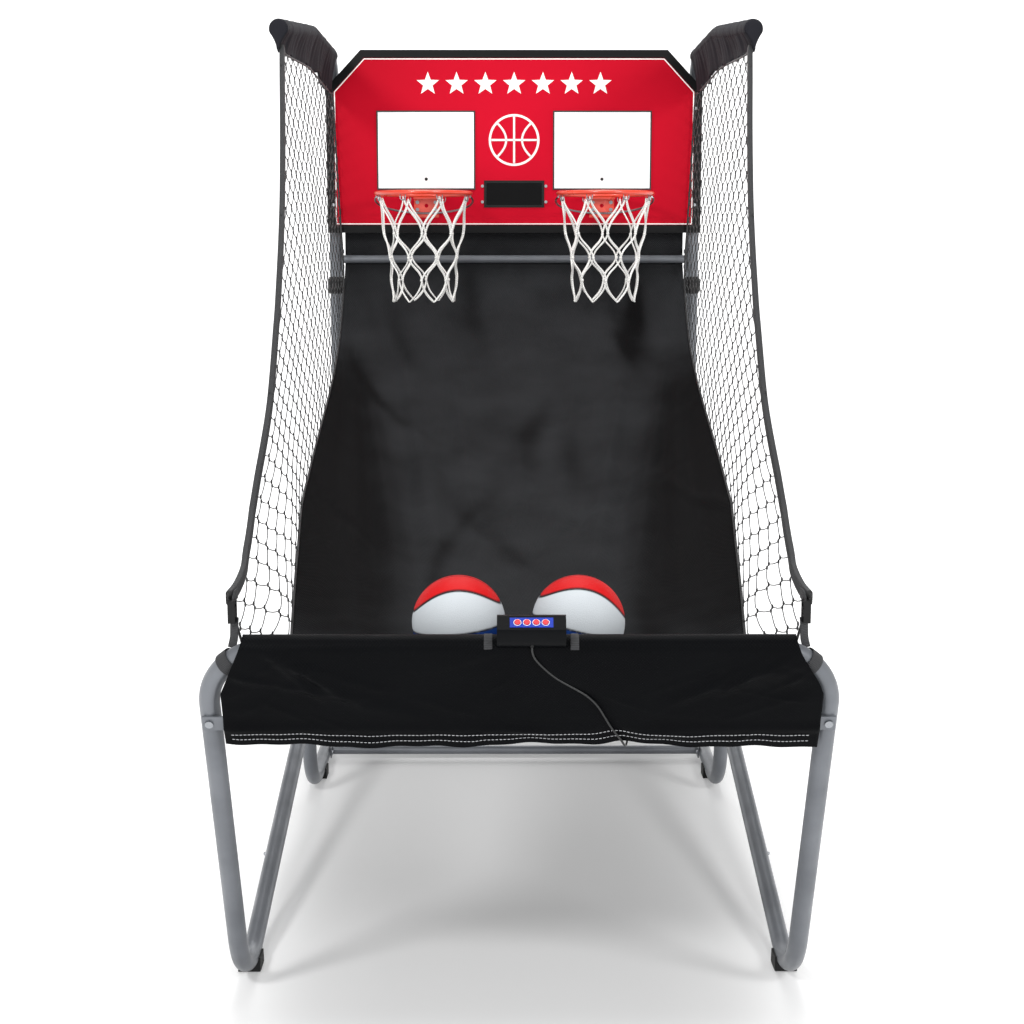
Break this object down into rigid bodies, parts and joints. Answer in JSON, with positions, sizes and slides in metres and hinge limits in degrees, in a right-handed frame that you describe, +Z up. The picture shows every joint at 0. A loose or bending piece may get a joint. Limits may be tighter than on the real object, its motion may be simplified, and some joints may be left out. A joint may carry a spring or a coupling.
{
  "type": "basketball hoop machine",
  "caption": "Folding arcade basketball frame with a backboard, two hoops with nets, a cloth ball return, side nets, an electronic controller and balls.",
  "frame": {"origin": "middle of the footprint, on the floor", "axes": "+Z up, +Y from the player's end towards the backboard, +X to the player's right"},
  "size_m": [1.1728, 2.4619, 2.09],
  "materials": {
    "grey_steel_tube": "satin silver grey powder coat",
    "black_plastic": "moulded black plastic with a fine grain",
    "black_plate": "black powder coat",
    "zinc_steel": "bright zinc plate",
    "black_rubber": "matt black rubber",
    "red_board": "red and black print under a clear satin film on hardboard",
    "white_acrylic": "white target sheet",
    "dark_lens": "smoked lens",
    "circuit_board": "green solder mask",
    "orange_painted_steel": "gloss orange powder coat",
    "white_cord": "braided white nylon cord",
    "charcoal_cloth": "woven polyester sleeve",
    "black_net": "knotted black nylon net",
    "black_cloth": "woven black polyester",
    "black_webbing": "ribbed black webbing",
    "blue_label": "printed blue film",
    "red_plastic": "moulded red plastic",
    "cord_rubber": "smooth black cable sheath",
    "ball_rubber": "pebbled rubber in red, white and blue panels"
  },
  "bodies": {
    "rear_frame": {"base_tube_left": "grey_steel_tube", "base_tube_right": "grey_steel_tube", "uprights": "grey_steel_tube", "arm_tube_left": "grey_steel_tube", "arm_tube_right": "grey_steel_tube", "upright_collars": "black_plastic", "arm_caps": "black_plastic", "floor_crossbar": "grey_steel_tube", "upper_crossbar": "grey_steel_tube", "frame_bolts": "zinc_steel", "rear_feet": "black_rubber", "pivot_brackets": "black_plate", "pivot_bolts": "zinc_steel", "backboard_panel": "red_board", "backboard_edging": "black_plastic", "target_panels": "white_acrylic", "scoreboard_case": "black_plastic", "scoreboard_lens": "dark_lens", "scoreboard_circuit": "circuit_board", "board_screws": "zinc_steel", "backboard_clamps": "black_plastic", "rim_left": "orange_painted_steel", "rim_right": "orange_painted_steel", "rim_brackets": "orange_painted_steel", "rim_braces": "zinc_steel", "rim_bolts": "zinc_steel", "hoop_nets": "white_cord", "score_sensors": "black_plastic", "arm_sleeves": "charcoal_cloth", "side_nets": "black_net", "ramp_cloth": "black_cloth"},
    "front_frame": {"front_crossbar": "grey_steel_tube", "front_leg_left": "grey_steel_tube", "front_leg_right": "grey_steel_tube", "front_foot_left": "grey_steel_tube", "front_foot_right": "grey_steel_tube", "side_rail_left": "grey_steel_tube", "side_rail_right": "grey_steel_tube", "stretcher_bar": "grey_steel_tube", "stretcher_bolts": "zinc_steel", "front_feet": "black_rubber", "apron": "black_cloth", "trough_cloth": "black_cloth", "corner_straps": "black_webbing", "strap_buckles": "black_plastic", "controller_case": "black_plastic", "controller_base": "black_plastic", "controller_label": "blue_label", "controller_circuit": "circuit_board", "controller_straps": "black_webbing", "controller_cord": "cord_rubber", "cord_fittings": "black_plastic"},
    "button_1": {"button_1": "red_plastic"},
    "button_2": {"button_2": "red_plastic"},
    "button_3": {"button_3": "red_plastic"},
    "button_4": {"button_4": "red_plastic"},
    "snap_left": {"snap_button_left": "zinc_steel"},
    "snap_right": {"snap_button_right": "zinc_steel"},
    "ball_left": {"ball_left": "ball_rubber"},
    "ball_right": {"ball_right": "ball_rubber"}
  },
  "joints": [
    {"name": "front_frame_fold", "type": "hinge", "parent": "rear_frame", "child": "front_frame", "pos_m": [0, 0.24, 0.28], "axis": [-1, 0, 0], "range_deg": [0, 75], "deforming": ["side_nets"]},
    {"name": "button_1_press", "type": "slide", "parent": "front_frame", "child": "button_1", "axis": [0, 0.6428, -0.766], "range_m": [0, 0.0015], "stiffness_N_per_m": 400, "springref_m": -0.001},
    {"name": "button_2_press", "type": "slide", "parent": "front_frame", "child": "button_2", "axis": [0, 0.6428, -0.766], "range_m": [0, 0.0015], "stiffness_N_per_m": 400, "springref_m": -0.001},
    {"name": "button_3_press", "type": "slide", "parent": "front_frame", "child": "button_3", "axis": [0, 0.6428, -0.766], "range_m": [0, 0.0015], "stiffness_N_per_m": 400, "springref_m": -0.001},
    {"name": "button_4_press", "type": "slide", "parent": "front_frame", "child": "button_4", "axis": [0, 0.6428, -0.766], "range_m": [0, 0.0015], "stiffness_N_per_m": 400, "springref_m": -0.001},
    {"name": "snap_left_press", "type": "slide", "parent": "front_frame", "child": "snap_left", "axis": [1, 0, 0], "range_m": [0, 0.006], "stiffness_N_per_m": 800, "springref_m": -0.002},
    {"name": "snap_right_press", "type": "slide", "parent": "front_frame", "child": "snap_right", "axis": [-1, 0, 0], "range_m": [0, 0.006], "stiffness_N_per_m": 800, "springref_m": -0.002},
    {"name": "ball_left_lift", "type": "slide", "parent": "front_frame", "child": "ball_left", "axis": [0, 0, 1], "range_m": [0, 0.25]},
    {"name": "ball_right_lift", "type": "slide", "parent": "front_frame", "child": "ball_right", "axis": [0, 0, 1], "range_m": [0, 0.25]}
  ]
}
